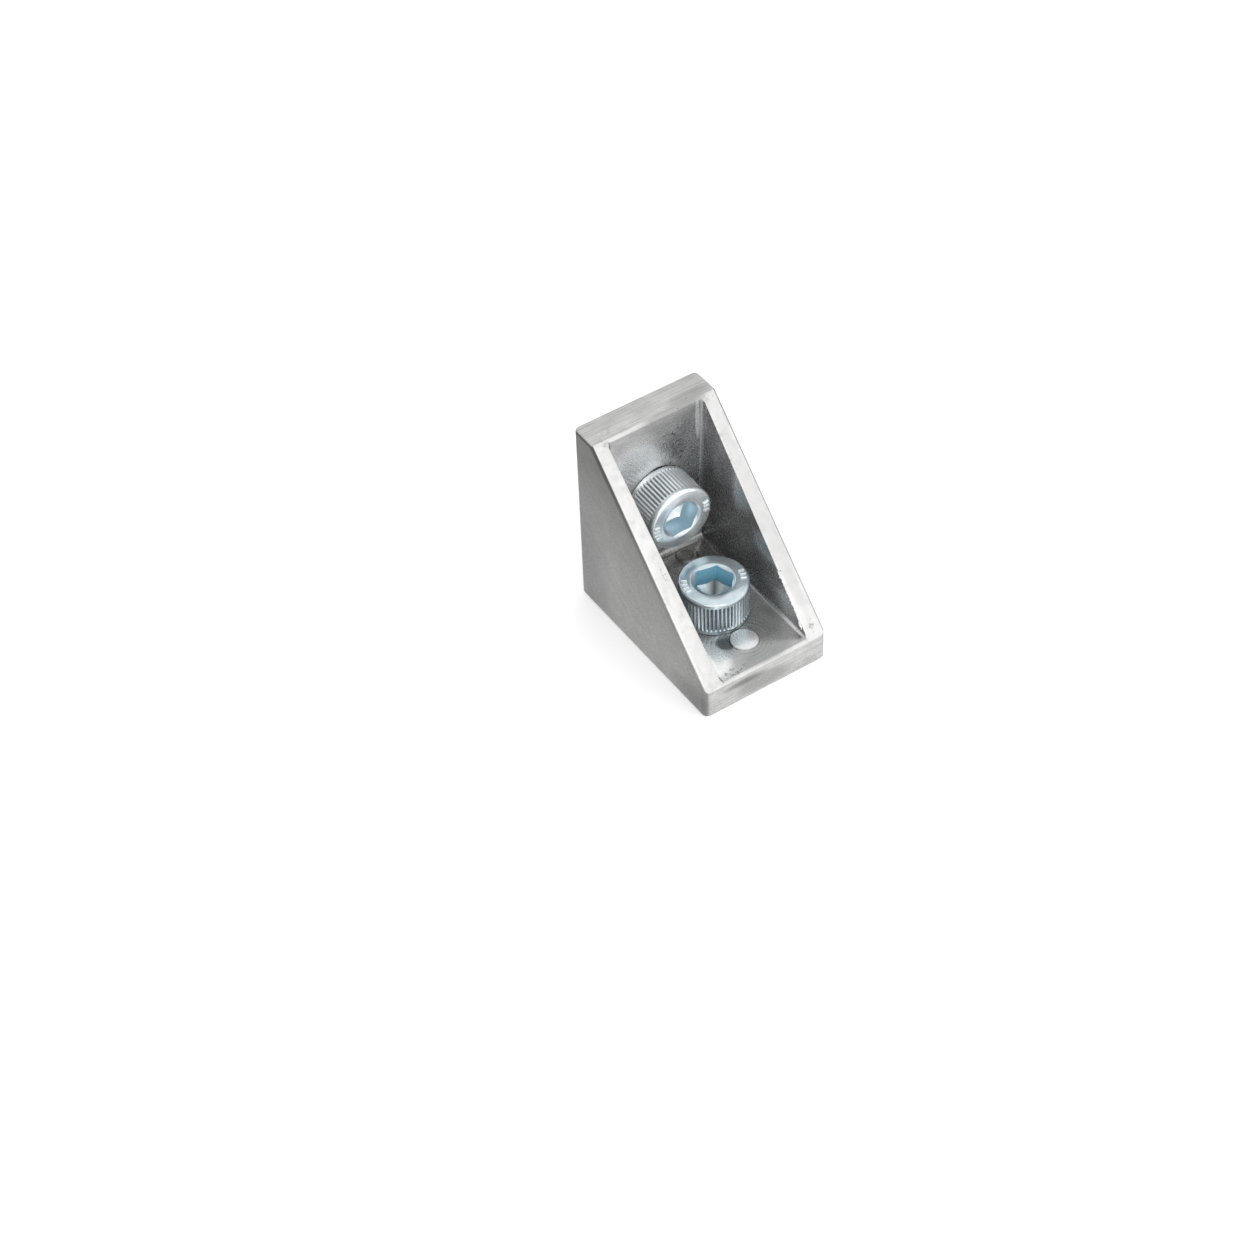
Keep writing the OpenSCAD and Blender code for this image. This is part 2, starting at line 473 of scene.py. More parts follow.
    def _pits(self, tree: Tree, point: Signal) -> Signal:
        """Small pits of differing size, in a few cells of a cell pattern.

        Args:
            tree: The material's node tree.
            point: The shaded point in mm.

        Returns:
            The pits' mask.
        """
        cells = add_node(
            tree, "ShaderNodeTexVoronoi",
            {"Vector": point, "Scale": 1 / self.pit_mm, "Randomness": 1.0},
        )
        pick = add_node(tree, "ShaderNodeSeparateXYZ", {0: cells.outputs["Color"]})
        size = remap(tree, pick.outputs[1], (0.0, 1.0), (0.05, 0.17))
        near = remap(tree, cells.outputs["Distance"], (0.03, size), (1.0, 0.0), smooth=True)
        chosen = calculate(tree, "GREATER_THAN", pick.outputs[0], 0.9)
        return calculate(tree, "MULTIPLY", near, chosen)

    def _swirls(self, tree: Tree, point: Signal, mottle: Signal) -> Signal:
        """Broken faint arcs round the ejector mark, from dressing the die.

        Args:
            tree: The material's node tree.
            point: The shaded point in mm.
            mottle: The noise of the soft patches.

        Returns:
            A wave from -1 to 1, and 0 where there is no arc.
        """
        far = add_node(
            tree, "ShaderNodeVectorMath", {0: point, 1: self.swirl_centre}, operation="DISTANCE"
        ).outputs["Value"]
        turned = calculate(tree, "MULTIPLY", far, 2 * math.pi / self.swirl_mm)
        wave = calculate(tree, "SINE", turned)
        outside = calculate(tree, "GREATER_THAN", far, self.swirl_start)
        within = remap(tree, far, (self.swirl_start, self.swirl_reach), (outside, 0.0))
        broken = remap(tree, mottle, (0.42, 0.52), (0.0, within))
        return calculate(tree, "MULTIPLY", wave, broken)

    def _lines(self, tree: Tree, point: Signal) -> Signal:
        """Fine trimming lines along the bracket's width, 1 in a dark line.

        Args:
            tree: The material's node tree.
            point: The shaded point in mm.

        Returns:
            The lines' mask.
        """
        drawn = add_node(
            tree, "ShaderNodeMapping",
            {"Vector": point, "Scale": (1 / self.line_mm, 0.07, 1 / self.line_mm)},
        )
        cloud = noise(tree, drawn, 1.0, detail=4.0, rough=0.6)
        return remap(tree, cloud, (0.46, 0.8), (0.0, 0.8))

    def _on_slope(self, tree: Tree, split: Node) -> Signal:
        """1 on the ground slope, where x + z reaches the slope's plane.

        Args:
            tree: The material's node tree.
            split: The shaded point's parts along X, Y and Z.

        Returns:
            The slope's mask.
        """
        total = calculate(tree, "ADD", split.outputs[0], split.outputs[2])
        return remap(tree, total, (self.slope_sum - 0.16, self.slope_sum - 0.04), smooth=True)

    def _on_ends(self, tree: Tree, split: Node) -> Signal:
        """1 on the two trimmed ends, at the foot's tip and the upright's top.

        Args:
            tree: The material's node tree.
            split: The shaded point's parts along X, Y and Z.

        Returns:
            The ends' mask.
        """
        far = calculate(tree, "MAXIMUM", split.outputs[0], split.outputs[2])
        return remap(tree, far, (self.end_mm - 0.12, self.end_mm - 0.03), smooth=True)

    def _height(
        self,
        tree: Tree,
        mottle: Signal,
        grain: Signal,
        pits: Signal,
        lines: Signal,
        ends: Signal,
        swirls: Signal,
        dirty: list[Signal],
    ) -> Signal:
        """Adds up the relief of the skin and its marks, in mm.

        Args:
            tree: The material's node tree.
            mottle: The noise of the soft patches.
            grain: The noise of the fine grain.
            pits: The pits' mask.
            lines: The trimming lines' mask.
            ends: The trimmed ends' mask.
            swirls: The arcs' wave.
            dirty: Each broken mark's mask.

        Returns:
            The height in mm.
        """
        scratch = calculate(tree, "MULTIPLY", lines, ends)
        relief = [(mottle, self.mottle_high), (grain, self.grain_high)]
        relief += [(scratch, -self.line_deep), (pits, -self.pit_deep)]
        relief += [(swirls, self.swirl_high)] + [(mask, self.crust_high) for mask in dirty]
        height = 0.0
        for pattern, depth in relief:
            height = calculate(tree, "MULTIPLY_ADD", pattern, depth, height)
        return height


@dataclass(frozen=True)
class BluePassivatedZinc:
    """Electroplated zinc with a clear blue passivation on a forged steel screw.

    The thin passivation film gives white metal a cold cast. The film is thicker
    down in the socket, so the blue is strongest there. Painted shade darkens the
    drill point's tip and a band on one side, standing in for the dark socket that
    the cone reflects, and darkens the knurl's grooves.
    """

    name: str = "blue_passivated_zinc"
    zinc: str = "#FBFEFF"
    zinc_dull: str = "#B6C6CD"
    film: str = "#91C7DC"
    shine: float = 0.88
    fresh_shine: float = 0.72
    film_shine: float = 0.5
    # the colour of the painted shade in the drill point and the knurl's grooves
    painted_shade: str = "#3A4042"
    roughness: float = 0.2
    socket_roughness: float = 0.5
    cloud_mm: float = 1.1
    grain_mm: float = 0.16
    grain_high: float = 0.003

    def build(self) -> Material:
        """Builds the node material.

        Returns:
            The finished material.
        """
        material, tree = new_material(self.name)
        point = millimetres(tree)
        cloud = noise(tree, point, self.cloud_mm, detail=3.0)
        grain = noise(tree, point, self.grain_mm)
        age = add_node(tree, "ShaderNodeAttribute", attribute_name="tarnish").outputs["Fac"]
        wet = add_node(tree, "ShaderNodeAttribute", attribute_name="film").outputs["Fac"]
        dull = calculate(tree, "MULTIPLY_ADD", cloud, 0.8, age)
        dull = calculate(tree, "MULTIPLY", dull, 0.6)
        shine = add_node(tree, "ShaderNodeMix", {0: age, 2: self.fresh_shine, 3: self.shine})
        shine = add_node(tree, "ShaderNodeMix", {0: wet, 2: shine, 3: self.film_shine})
        plain = blend(tree, dull, self.zinc, self.zinc_dull)
        colour = blend(tree, wet, plain, self.film)
        # painted shade darkens the drill point and the knurl's grooves
        shade_mask = add_node(tree, "ShaderNodeAttribute", attribute_name="painted_shade").outputs["Fac"]
        colour = blend(tree, shade_mask, colour, self.painted_shade)
        rough = remap(tree, grain, (0.3, 0.7), (self.roughness - 0.04, self.roughness + 0.06))
        rough = add_node(tree, "ShaderNodeMix", {0: wet, 2: rough, 3: self.socket_roughness})
        bump = add_node(
            tree, "ShaderNodeBump",
            {"Height": grain, "Strength": 1.0, "Distance": self.grain_high * MM},
        )
        shader = add_node(
            tree, "ShaderNodeBsdfPrincipled",
            {"Base Color": colour, "Metallic": shine, "Roughness": rough, "Normal": bump},
        )
        add_node(tree, "ShaderNodeOutputMaterial", {"Surface": shader})
        return material


@dataclass(frozen=True)
class OpalTable:
    """Opal glass table, lit a little from below.

    It reads as plain white, and its glow keeps the object's shadow soft.
    """

    name: str = "opal_table"
    colour: str = "#F4F4F4"
    glow: float = 0.26

    def build(self) -> Material:
        """Builds the node material.

        Returns:
            The finished material.
        """
        material, tree = new_material(self.name)
        shader = add_node(
            tree, "ShaderNodeBsdfPrincipled",
            {
                "Base Color": linear(self.colour),
                "Roughness": 0.9,
                "Emission Color": linear(self.colour),
                "Emission Strength": self.glow,
            },
        )
        add_node(tree, "ShaderNodeOutputMaterial", {"Surface": shader})
        return material


def start_clean() -> None:
    """Leaves edit mode and deselects everything before a new piece."""
    if bpy.context.object and bpy.context.object.mode != "OBJECT":
        bpy.ops.object.mode_set(mode="OBJECT")
    bpy.ops.object.select_all(action="DESELECT")


def pick_only(piece: Piece) -> None:
    """Makes one object the only selected one, and the active one.

    Args:
        piece: The object.
    """
    bpy.ops.object.select_all(action="DESELECT")
    bpy.context.view_layer.objects.active = piece
    piece.select_set(True)


def open_mesh(piece: Piece, select: str = "VERT") -> bmesh.types.BMesh:
    """Opens a piece's mesh for editing, with nothing in it selected.

    Args:
        piece: The object to edit.
        select: What is selected from now on, VERT or EDGE.

    Returns:
        The mesh to select in.
    """
    start_clean()
    pick_only(piece)
    bpy.ops.object.mode_set(mode="EDIT")
    bpy.ops.mesh.select_mode(type=select)
    bpy.ops.mesh.select_all(action="DESELECT")
    return bmesh.from_edit_mesh(piece.data)


def close_solid() -> None:
    """Turns the open mesh's faces outwards and leaves edit mode."""
    bpy.ops.mesh.select_all(action="SELECT")
    bpy.ops.mesh.normals_make_consistent(inside=False)
    bpy.ops.object.mode_set(mode="OBJECT")


def apply_modifier(piece: Piece, kind: str, **settings: object) -> None:
    """Adds a modifier with its settings and applies it.

    Args:
        piece: The object that takes the modifier.
        kind: The modifier's type name.
        **settings: Attributes of the modifier.
    """
    pick_only(piece)
    modifier = piece.modifiers.new(kind.lower(), kind)
    for name, value in settings.items():
        setattr(modifier, name, value)
    bpy.ops.object.modifier_apply(modifier=modifier.name)


def merge_copy(node: Piece, name: str) -> Piece:
    """Copies a CAD node's mesh to a new piece and joins its loose triangles.

    Args:
        node: The CAD node, which isn't changed.
        name: The new piece's name.

    Returns:
        The new piece, with flat faces rejoined.
    """
    start_clean()
    piece = bpy.data.objects.new(name, node.data.copy())
    bpy.context.scene.collection.objects.link(piece)
    piece.data.name = name
    pick_only(piece)
    bpy.ops.mesh.customdata_custom_splitnormals_clear()
    bpy.ops.object.mode_set(mode="EDIT")
    bpy.ops.mesh.select_all(action="SELECT")
    bpy.ops.mesh.remove_doubles(threshold=JOIN_WITHIN)
    bpy.ops.mesh.dissolve_limited(angle_limit=FLAT_WITHIN)
    bpy.ops.object.mode_set(mode="OBJECT")
    return piece


@dataclass
class Casting:
    """The die-cast angle with its side walls, in mm.

    Attributes:
        break_width: Width of the worn bevel on every sharp edge.
        break_steps: Segments of that bevel.
        sharp: Smallest angle of an edge that is broken, in degrees.
        smooth: Largest angle that is shaded smooth, in degrees.
        land_moves: Where the pocket's edge moves at each end, and by how much.
        land_near: How near that place an edge has to be to move.
        land_half: Half the length of the stretch that moves.
        flash_path: The line of the flash that was left on the right rim.
        flash_r: Smallest and largest radius of the flash.
        flash_step: Distance between two rings of the flash.
        flash_drift: How far a ring strays from the line.
    """

    break_width: float = 0.14
    break_steps: int = 3
    sharp: float = 25.0
    smooth: float = 30.0
    flash_path: tuple[tuple[float, float, float], ...] = (
        (22.6, 7.2, 11.8), (25.4, 7.22, 9.0), (27.2, 7.14, 7.2), (28.6, 6.86, 5.8)
    )
    land_moves: tuple[tuple[tuple[float, float, float], tuple[float, float, float]], ...] = (
        ((29.7, -6.0, 4.8), (0.16, 0, 0)),
        ((29.7, 6.0, 4.8), (0.08, 0, 0)),
        ((4.8, -6.0, 29.7), (0, 0, 0.14)),
        ((4.8, 6.0, 29.7), (0, 0, 0.14)),
    )
    land_near: float = 0.05
    land_half: float = 2.5
    flash_r: tuple[float, float] = (0.05, 0.2)
    flash_step: float = 0.22
    flash_drift: tuple[float, float] = (0.06, 0.05)

    def build(self, node: Piece, finish: Material) -> Piece:
        """Makes the finished casting from the node's own shape.

        Args:
            node: The CAD node that the piece stands for.
            finish: The casting's material.

        Returns:
            The finished piece.
        """
        piece = merge_copy(node, "casting")
        self._narrow_lands(piece)
        apply_modifier(
            piece,
            "BEVEL",
            width=self.break_width * MM,
            segments=self.break_steps,
            limit_method="ANGLE",
            angle_limit=math.radians(self.sharp),
            use_clamp_overlap=False,
            miter_outer="MITER_ARC",
        )
        flash = self._leave_flash()
        pick_only(piece)
        flash.select_set(True)
        bpy.ops.object.join()
        bpy.ops.object.shade_smooth_by_angle(angle=math.radians(self.smooth))
        piece.data.materials.clear()
        piece.data.materials.append(finish)
        return piece

    def _narrow_lands(self, piece: Piece) -> None:
        """Moves the pocket's edge at both ends, so that hardly any land is left.

        Args:
            piece: The casting.
        """
        for place, move in self.land_moves:
            edit = open_mesh(piece)
            for vertex in edit.verts:
                away = vertex.co / MM - Vector(place)
                on_edge = max(abs(away.x), abs(away.z)) < self.land_near
                vertex.select = on_edge and abs(away.y) < self.land_half
            bmesh.update_edit_mesh(piece.data)
            bpy.ops.transform.translate(value=Vector(move) * MM)
            bpy.ops.object.mode_set(mode="OBJECT")

    def _flash_points(self) -> list[Vector]:
        """Places evenly spaced points along the flash's line.

        Returns:
            The points in mm.
        """
        corners = [Vector(corner) for corner in self.flash_path]
        points = []
        for start, end in zip(corners, corners[1:]):
            steps = max(1, round((end - start).length / self.flash_step))
            points += [start.lerp(end, step / steps) for step in range(steps)]
        return points + [corners[-1]]

    def _leave_flash(self) -> Piece:
        """Makes the ragged line of flash on the right rim's inner edge.

        Returns:
            The flash, as a closed solid.
        """
        ragged = random.Random(11)
        points = self._flash_points()
        thin, thick = self.flash_r
        start_clean()
        bpy.ops.mesh.primitive_circle_add(
            vertices=8, radius=thin * MM, fill_type="NGON", location=points[0] * MM
        )
        flash = bpy.context.object
        flash.name = "flash"
        bpy.ops.object.transform_apply(location=True, rotation=True, scale=True)
        bpy.ops.object.mode_set(mode="EDIT")
        bpy.ops.mesh.select_all(action="SELECT")
        radius, place = thin, points[0]
        for number, point in enumerate(points[1:], 1):
            last = number == len(points) - 1
            wider = thin if last else ragged.uniform(thin, thick)
            drift = [ragged.uniform(-most, most) for most in self.flash_drift]
            point = point + Vector((0, *drift))
            bpy.ops.mesh.extrude_region_move(TRANSFORM_OT_translate={"value": (point - place) * MM})
            bpy.ops.transform.resize(value=(wider / radius,) * 3, center_override=point * MM)
            radius, place = wider, point
        close_solid()
        return flash


class ScrewSeat(Enum):
    """Where a screw sits.

    Each value is the node's name, the seat's centre in mm, the turn of the
    hexagon about the screw's axis, the turn of the ticks from the hexagon, both
    in degrees, and how aged the plating is, from 0 to 1, which also sets how much
    shade is painted in the screw's socket.
    """

    FOOT = ("foot_screw", (17.9, 0.0, 4.8), 18.5, 49.0, 1.0)
    WALL = ("wall_screw", (4.8, 0.0, 16.1), 2.0, 0.0, 0.2)

    @property
    def node(self) -> str:
        """The CAD node that this screw stands for."""
        return self.value[0]

    @property
    def tick_turn(self) -> float:
        """How far the ticks are turned from the hexagon, in degrees."""
        return self.value[3]

    @property
    def age(self) -> float:
        """How aged this screw's plating is, from 0 to 1; it also sets the socket's painted shade.
        """
        return self.value[4]

    def placing(self) -> Matrix:
        """The transform from a screw that stands on its seat at the origin.

        Returns:
            The transform, in metres.
        """
        seat = Matrix.Translation(Vector(self.value[1]) * MM)
        turn = Matrix.Rotation(math.radians(self.value[2]), 4, "Z")
        if self is ScrewSeat.FOOT:
            return seat @ turn
        lean = Matrix.Rotation(math.radians(90), 4, "Y")
        quarter = Matrix.Rotation(math.radians(90), 4, "Z")
        return seat @ lean @ quarter @ turn


@dataclass
class CapScrew:
    """An M6 socket head cap screw, turned, knurled and rolled, in mm.

    Names that end in _r are radii, in _l lengths and in _steps counts of corners.
    The neck is the plain stretch under the head, knurl_shape is one groove's
    depth at each of its corners as a share of knurl_depth, and mouth_slope is
    the countersink's rise over its width. Its tool starts mouth_under inside
    the mouth and ends mouth_over outside. Ticks lie at tick_turns, in degrees.
    In the drill point, painted shade fills the tip and a line at shade_turn that
    fades within shade_spread, both in degrees; it stands in for the dark socket
    that the cone reflects.
    """

    head_r: float = 4.9
    head_h: float = 5.8
    thread_r: float = 3.0
    root_r: float = 2.46
    neck_r: float = 2.66
    neck_l: float = 1.6
    neck_flare: float = 0.34
    length: float = 12.0
    pitch: float = 1.0
    tip: float = 0.6
    teeth: int = 54
    knurl_depth: float = 0.24
    knurl_shape: tuple[float, ...] = (0.0, 0.12, 0.72, 1.0, 0.72, 0.12)
    knurl_low: float = 0.7
    knurl_high: float = 5.0
    knurl_fade: float = 0.24
    key: float = 5.0
    key_depth: float = 3.0
    mouth_r: float = 3.05
    mouth_slope: float = 0.364
    mouth_under: float = 0.9
    mouth_over: float = 0.3
    socket_edge: float = 0.08
    edge_r: float = 0.42
    edge_steps: int = 5
    base_edge: float = 0.22
    tick_r: float = 4.05
    tick_l: float = 0.85
    tick_w: float = 0.3
    tick_h: float = 0.2
    tick_edge: float = 0.05
    tick_turns: tuple[float, ...] = (172.0, 182.0, 192.0, 202.0, -8.0, 2.0, 12.0)
    thread_steps: int = 36
    blank_steps: int = 72
    tool_steps: int = 96
    over: float = 0.04
    smooth: float = 38.0
    # painted shade in the drill point, dark at its tip and in a band on one side, and in the
    # knurl's grooves
    shade_turn: float = 124.0
    shade_spread: float = 34.0
    shade_tip_r: float = 1.0
    shade_least: float = 0.05
    shade_line: float = 0.9
    groove_shade: float = 0.75

    def build(self, seat: ScrewSeat, finish: Material) -> Piece:
        """Makes one finished screw and puts it in its seat.

        Args:
            seat: Which of the two screws it is.
            finish: The screw's material.

        Returns:
            The finished piece.
        """
        screw = self._turn_head(seat.node.replace("_", "_cap_"))
        self._roll_knurl(screw)
        self._forge_socket(screw)
        self._raise_ticks(screw, seat.tick_turn)
        self._add_thread(screw)
        self._stain_and_shade(screw, seat.age)
        pick_only(screw)
        screw.data.transform(seat.placing())
        bpy.ops.object.shade_smooth_by_angle(angle=math.radians(self.smooth))
        screw.data.materials.clear()
        screw.data.materials.append(finish)
        return screw

    def _turn(self, name: str, rings: list[tuple[float, float]], steps: int) -> Piece:
        """Turns a solid from a ring that is extruded and resized step by step.

        Args:
            name: The new object's name.
            rings: Radius and height of each ring, from the lowest, in mm.
            steps: How many corners each ring has.

        Returns:
            The closed solid.
        """
        start_clean()
        radius, height = rings[0]
        bpy.ops.mesh.primitive_circle_add(
            vertices=steps, radius=radius * MM, fill_type="NGON", location=(0, 0, height * MM)
        )
        piece = bpy.context.object
        piece.name = name
        piece.data.name = name
        bpy.ops.object.transform_apply(location=True, rotation=True, scale=True)
        bpy.ops.object.mode_set(mode="EDIT")
        bpy.ops.mesh.select_all(action="SELECT")
        for wider, higher in rings[1:]:
            bpy.ops.mesh.extrude_region_move(
                TRANSFORM_OT_translate={"value": (0, 0, (higher - height) * MM)}
            )
            bpy.ops.transform.resize(
                value=(wider / radius, wider / radius, 1), center_override=(0, 0, higher * MM)
            )
            radius, height = wider, higher
        close_solid()
        return piece

    def _turn_head(self, name: str) -> Piece:
        """Turns the neck and the head, with a round top edge.

        Args:
            name: The screw's name.

        Returns:
            The neck and the head, as one closed solid.
        """
        r, h, e = self.head_r, self.head_h, self.edge_r
        low, high, fade = self.knurl_low, self.knurl_high, self.knurl_fade
        rings = [
            (self.neck_r, -self.neck_l - 0.2),
            (self.neck_r, -0.35),
            (self.neck_r + self.neck_flare, 0.0),
            (r - self.base_edge, 0.0),
            (r - 0.06, 0.06),
            (r, self.base_edge),
            (r, low),
            (r, low + fade),
            (r, high - fade),
            (r, high),
        ]
        for step in range(self.edge_steps + 1):
            angle = math.radians(90 * step / self.edge_steps)
            rings.append((r - e + e * math.cos(angle), h - e + e * math.sin(angle)))
        return self._turn(name, rings, self.teeth * len(self.knurl_shape))

    def _roll_knurl(self, screw: Piece) -> None:
        """Presses the grooves of the straight knurl into the head.

        Args:
            screw: The screw, upright with its seat at the origin.
        """
        steps = self.teeth * len(self.knurl_shape)
        for offset, share in enumerate(self.knurl_shape):
            if share:
                self._press(screw, steps, offset, 1 - share * self.knurl_depth / self.head_r)

    def _press(self, screw: Piece, steps: int, offset: int, scale: float) -> None:
        """Presses one line of each groove inwards, between the plain bands.

        Args:
            screw: The screw, upright with its seat at the origin.
            steps: How many corners the head has.
            offset: Which corner of each groove is pressed.
            scale: What its radius is multiplied by.
        """
        low, high = self.knurl_low, self.knurl_high
        edit = open_mesh(screw)
        for vertex in edit.verts:
            z = vertex.co.z / MM
            on_wall = abs(math.hypot(vertex.co.x, vertex.co.y) / MM - self.head_r) < 0.01
            number = round(math.atan2(vertex.co.y, vertex.co.x) * steps / (2 * math.pi))
            chosen = number % len(self.knurl_shape) == offset
            vertex.select = on_wall and chosen and low + 0.1 < z < high - 0.1
        bmesh.update_edit_mesh(screw.data)
        bpy.ops.transform.resize(value=(scale, scale, 1), center_override=(0, 0, 0))
        bpy.ops.object.mode_set(mode="OBJECT")

    def _cut(self, piece: Piece, tool: Piece, how: str) -> None:
        """Combines a piece with a tool body, and removes the tool."""
        apply_modifier(piece, "BOOLEAN", operation=how, object=tool, solver="EXACT")
        bpy.data.objects.remove(tool, do_unlink=True)

    def _forge_socket(self, screw: Piece) -> None:
        """Sinks the hexagon socket with its drill point and its mouth.

        Args:
            screw: The screw, upright with its seat at the origin.
        """
        corner = self.key / 2 / math.cos(math.radians(30))
        bottom = self.head_h - self.key_depth
        slant = 1 / math.tan(math.radians(60))
        tip = bottom - self.key / 2 * slant
        hexagon = self._turn("hexagon_tool", [(corner, tip - 0.1), (corner, self.head_h + 1)], 6)
        wide = 4.0
        cone = [(0.02, tip), (wide, tip + wide * slant), (wide, self.head_h + 2)]
        drill = self._turn("drill_tool", cone, self.tool_steps)
        funnel = [
            (self.mouth_r + out, self.head_h + out * self.mouth_slope)
            for out in (-self.mouth_under, self.mouth_over)
        ]
        mouth = self._turn("mouth_tool", funnel, self.tool_steps)
        self._cut(hexagon, drill, "INTERSECT")
        self._cut(hexagon, mouth, "UNION")
        # primitive_circle_add puts its first corner on +Y, the CAD's is on +X
        hexagon.data.transform(Matrix.Rotation(math.radians(30), 4, "Z"))
        self._cut(screw, hexagon, "DIFFERENCE")
        self._ease_socket(screw)

    def _ease_socket(self, screw: Piece) -> None:
        """Rounds the socket's sharp edges a little.

        Args:
            screw: The screw, upright with its seat at the origin.
        """
        edit = open_mesh(screw, "EDGE")
        for edge in edit.edges:
            middle = (edge.verts[0].co + edge.verts[1].co) / 2 / MM
            inside = math.hypot(middle.x, middle.y) < self.mouth_r + 0.05
            deep = middle.z > self.head_h - self.key_depth - 0.1
            bent = len(edge.link_faces) == 2 and edge.calc_face_angle() > math.radians(20)
            if inside and deep and bent:
                edge.select = True
        bmesh.update_edit_mesh(screw.data)
        bpy.ops.mesh.bevel(offset=self.socket_edge * MM, segments=2, clamp_overlap=True)
        bpy.ops.object.mode_set(mode="OBJECT")

    def _raise_ticks(self, screw: Piece, start: float) -> None:
        """Raises two groups of plain radial ticks on the head's face.

        Args:
            screw: The screw, upright with its seat at the origin.
            start: The turn of the ticks from the hexagon, in degrees.
        """
        for turn in self.tick_turns:
            start_clean()
            bpy.ops.mesh.primitive_cube_add(
                size=1, location=(self.tick_r * MM, 0, self.head_h * MM)
            )
            tick = bpy.context.object
            tick.scale = (self.tick_l * MM, self.tick_w * MM, 2 * self.tick_h * MM)
            bpy.ops.object.transform_apply(location=True, rotation=True, scale=True)
            apply_modifier(tick, "BEVEL", width=self.tick_edge * MM, segments=2)
            tick.data.transform(Matrix.Rotation(math.radians(start + turn), 4, "Z"))
            self._cut(screw, tick, "UNION")

    def _add_thread(self, screw: Piece) -> None:
        """Rolls the thread and joins it to the neck.

        Args:
            screw: The screw, upright with its seat at the origin.
        """
        outer, inner = self.thread_r + self.over, self.root_r + self.over
        rings = [
            (self.thread_r - self.tip, -self.length),
            (outer, self.tip + self.over - self.length),
            (outer, -self.neck_l - 0.42),
            (inner, -self.neck_l + 0.16),
        ]
        blank = self._turn("thread_blank", rings, self.blank_steps)
        thread = self._wind_thread()
        self._cut(thread, blank, "INTERSECT")
        self._cut(screw, thread, "UNION")

    def _wind_thread(self) -> Piece:
        """Winds one thread profile into a closed helical body.

        Returns:
            The thread, a little longer than it is needed.
        """
        start_clean()
        turns = round(self.length / self.pitch) + 3
        bpy.ops.mesh.primitive_plane_add(size=1, location=(0, 0, 0))
        piece = bpy.context.object
        piece.name = "thread"
        edit = bmesh.new()
        # a metric thread is flat for a quarter pitch at its root, an eighth at its crest
        root, crest = self.pitch / 4, self.pitch / 8
        flank = (self.pitch - root - crest) / 2
        low = -self.length - 1.5 * self.pitch
        corners = [
            (self.root_r, 0.0),
            (self.root_r, root),
            (self.thread_r, root + flank),
            (self.thread_r, root + crest + flank),
            (self.root_r, self.pitch),
        ]
        spots = [edit.verts.new((r * MM, 0, (low + z) * MM)) for r, z in corners]
        for first, second in zip(spots, spots[1:]):
            edit.edges.new((first, second))
        edit.to_mesh(piece.data)
        edit.free()
        apply_modifier(
            piece,
            "SCREW",
            axis="Z",
            angle=math.radians(360),
            screw_offset=self.pitch * MM,
            iterations=turns,
            steps=self.thread_steps,
            render_steps=self.thread_steps,
            use_merge_vertices=True,
            merge_threshold=JOIN_WITHIN,
        )
        pick_only(piece)
        bpy.ops.object.mode_set(mode="EDIT")
        bpy.ops.mesh.select_all(action="SELECT")
        bpy.ops.mesh.remove_doubles(threshold=2 * JOIN_WITHIN)
        # the cuts miss the thread's own corners, which would leave slivers
        for height, above in ((-self.length - 0.213, False), (-self.neck_l + 0.417, True)):
            bpy.ops.mesh.select_all(action="SELECT")
            bpy.ops.mesh.bisect(
                plane_co=(0, 0, height * MM),
                plane_no=(0, 0, 1),
                use_fill=True,
                clear_inner=not above,
                clear_outer=above,
            )
        close_solid()
        return piece

    def _stain_and_shade(self, screw: Piece, age: float) -> None:
        """Writes where the plating has aged and where shade is painted.

        The attribute film is set on the socket's walls. The attribute that holds
        painted shade is set in the knurl's grooves and, on an aged screw, in the
        drill point.
        The attribute tarnish is the screw's age, apart from its rubbed ticks.

        Args:
            screw: The screw, upright with its seat at the origin.
            age: How aged the plating is, from 0 to 1, which also sets the socket's painted shade.
        """
        socket_r, face_top, cone_top = 0.6 * self.key, self.head_h + 0.02, self.head_h - 1
        mesh = screw.data
        film = mesh.attributes.new("film", "FLOAT", "FACE")
        painted_shade = mesh.attributes.new("painted_shade", "FLOAT", "CORNER")
        tarnish = mesh.attributes.new("tarnish", "FLOAT", "FACE")
        for face in mesh.polygons:
            middle = face.center / MM
            in_socket = math.hypot(middle.x, middle.y) < socket_r and middle.z > 0
            on_wall = in_socket and abs(face.normal.z) < 0.1
            # painted shade: the film's strength follows the age, so the foot screw's socket walls
            # are painted darker than the wall screw's
            film.data[face.index].value = 0.4 + 0.6 * age if on_wall else 0.0
            tarnish.data[face.index].value = age if middle.z < face_top else 0.0
            in_point = in_socket and face.normal.z > 0.3 and middle.z < cone_top
            for corner in face.loop_indices:
                place = mesh.vertices[mesh.loops[corner].vertex_index].co / MM
                # painted shade: the drill point darkens at its tip and in a band on one side, for
                # the dark socket that the cone reflects, and the knurl's grooves darken where shade
                # falls
                if in_point:
                    painted_shade.data[corner].value = age * self._shade_in_point(place)
                elif not in_socket:
                    painted_shade.data[corner].value = self._shade_in_knurl(place)

    def _shade_in_point(self, place: Vector) -> float:
        """The painted shade at a place in the drill point, from 0 to 1.

        It stands in for the dark socket that the cone reflects.

        Args:
            place: The place in mm, on a screw upright at the origin.

        Returns:
            The share of painted shade.
        """
        turn = abs(math.degrees(math.atan2(place.y, place.x)) - self.shade_turn)
        if math.hypot(place.x, place.y) < self.shade_tip_r:
            return 1.0
        return self.shade_least + self.shade_line * max(0.0, 1 - turn / self.shade_spread)

